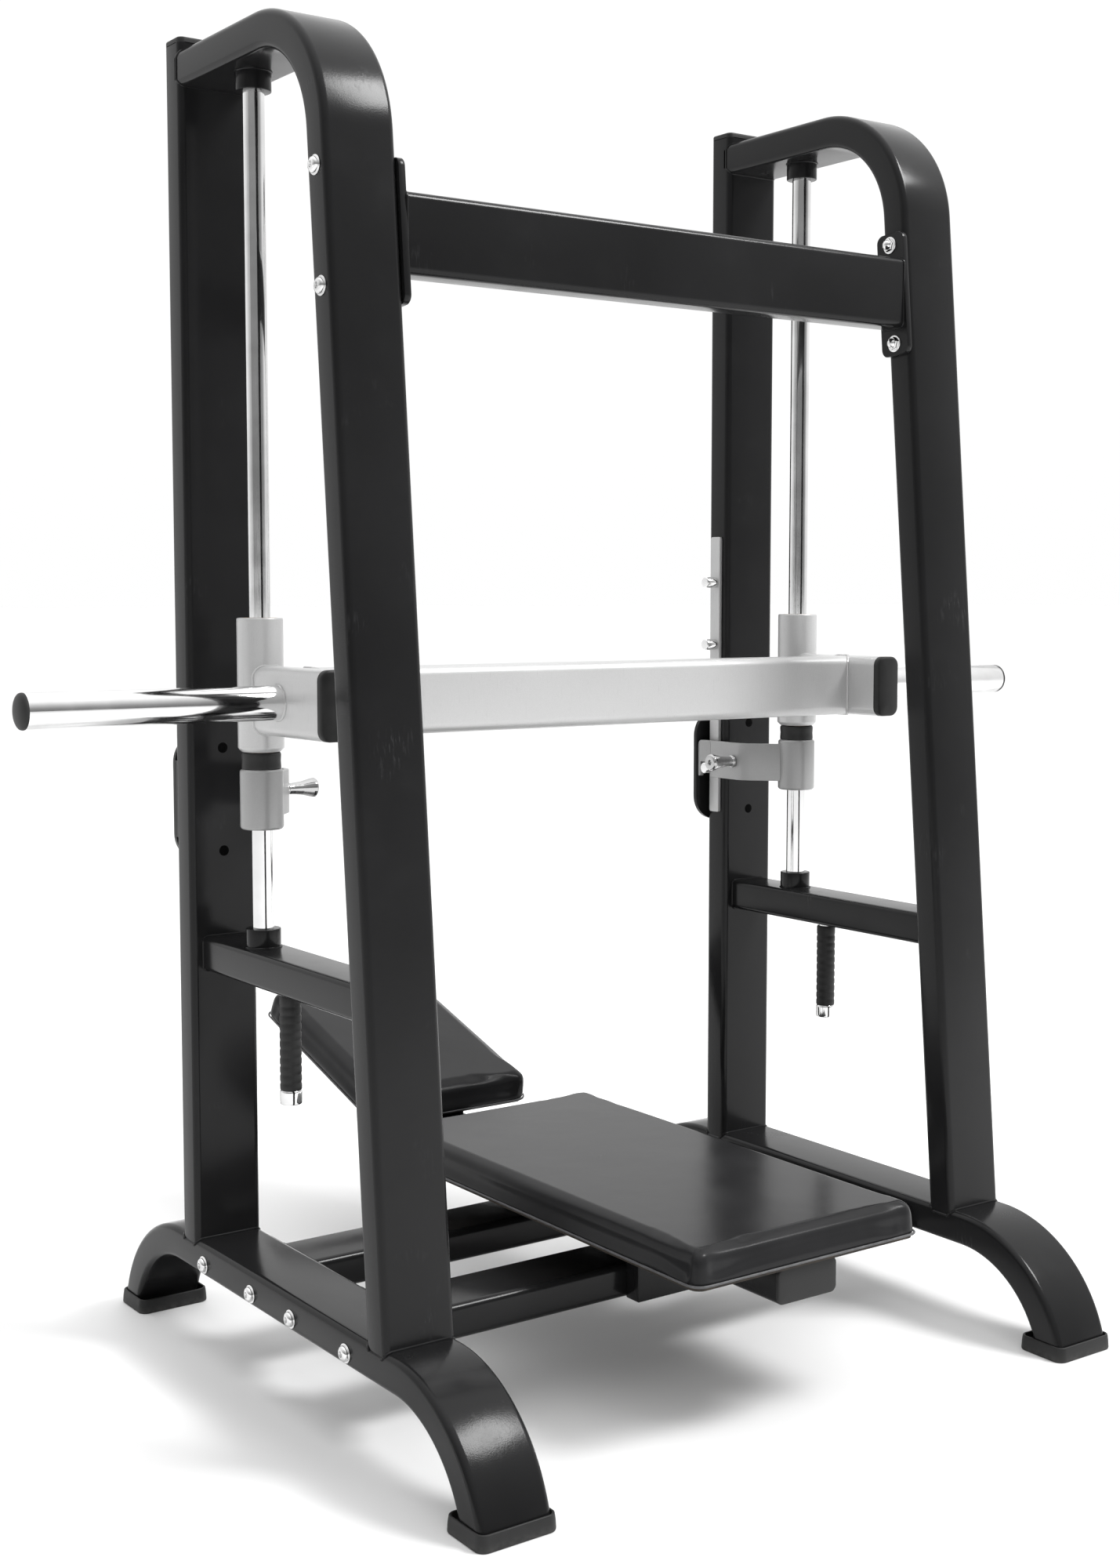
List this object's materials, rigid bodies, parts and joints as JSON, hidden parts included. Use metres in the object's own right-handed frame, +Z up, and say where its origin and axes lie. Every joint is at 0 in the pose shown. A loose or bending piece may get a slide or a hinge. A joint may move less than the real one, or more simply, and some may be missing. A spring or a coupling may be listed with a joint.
{
  "type": "smith machine",
  "caption": "Free-standing guided-carriage leg press rack with a lying bench, vertical guide rods, a sliding foot bar with weight horns and swing-out safety stops.",
  "frame": {"origin": "centre of the machine's bounding box on the floor; the side frames' own middle is 150.9 mm in front of it", "axes": "+Z up, +X to the right across the machine (the plane of symmetry is x = 0), -Y to the front, where the user gets on, +Y to the inclined pad"},
  "size_m": [1.872, 1.3978, 1.99],
  "materials": {
    "frame_paint": "gloss black powder coat",
    "silver_paint": "satin silver powder coat",
    "chrome": "polished chrome plate",
    "rubber": "matte black moulded rubber",
    "vinyl": "glossy black vinyl over foam",
    "plywood": "stained plywood",
    "bronze": "machined bearing bronze"
  },
  "bodies": {
    "frame": {"left_base_rail": "frame_paint", "right_base_rail": "frame_paint", "left_foot_caps": "rubber", "right_foot_caps": "rubber", "left_rear_upright": "frame_paint", "right_rear_upright": "frame_paint", "upright_caps": "rubber", "left_arch": "frame_paint", "right_arch": "frame_paint", "left_tie": "frame_paint", "right_tie": "frame_paint", "left_rod_sockets": "frame_paint", "right_rod_sockets": "frame_paint", "left_guide_rod": "chrome", "right_guide_rod": "chrome", "left_rear_plate": "frame_paint", "right_rear_plate": "frame_paint", "left_rack_strip": "silver_paint", "right_rack_strip": "silver_paint", "rack_pegs": "chrome", "left_grip_bar": "chrome", "right_grip_bar": "chrome", "left_grip_sleeve": "rubber", "right_grip_sleeve": "rubber", "crossbeam": "frame_paint", "crossbeam_plates": "frame_paint", "crossbeam_bolts": "chrome", "rear_cross_tube": "frame_paint", "front_cross_tube": "frame_paint", "cross_tube_plates": "frame_paint", "frame_bolts": "chrome", "bench_spine": "frame_paint", "front_saddle": "frame_paint", "rear_saddle": "frame_paint", "backrest_bracket": "frame_paint", "seat_board": "plywood", "seat_pad": "vinyl", "back_board": "plywood", "back_pad": "vinyl", "pad_screws": "chrome"},
    "carriage": {"left_bearing_housing": "silver_paint", "right_bearing_housing": "silver_paint", "left_bushes": "bronze", "right_bushes": "bronze", "left_side_arm": "silver_paint", "right_side_arm": "silver_paint", "foot_bar": "silver_paint", "arm_caps": "rubber", "left_weight_horn": "chrome", "right_weight_horn": "chrome", "horn_caps": "rubber"},
    "left_stop": {"left_stop_collar": "silver_paint", "left_hook_arm": "silver_paint", "left_stop_bumper": "rubber", "left_stop_knob": "chrome"},
    "right_stop": {"right_stop_collar": "silver_paint", "right_hook_arm": "silver_paint", "right_stop_bumper": "rubber", "right_stop_knob": "chrome"}
  },
  "joints": [
    {"name": "carriage_slide", "type": "slide", "parent": "frame", "child": "carriage", "axis": [0, 0, 1], "range_m": [0, 0.745]},
    {"name": "left_stop_swing", "type": "hinge", "parent": "frame", "child": "left_stop", "pos_m": [-0.528, -0.02188, 0.87], "axis": [0, 0, -1], "range_deg": [0, 70]},
    {"name": "right_stop_swing", "type": "hinge", "parent": "frame", "child": "right_stop", "pos_m": [0.528, -0.02188, 0.87], "axis": [0, 0, 1], "range_deg": [0, 70]}
  ]
}
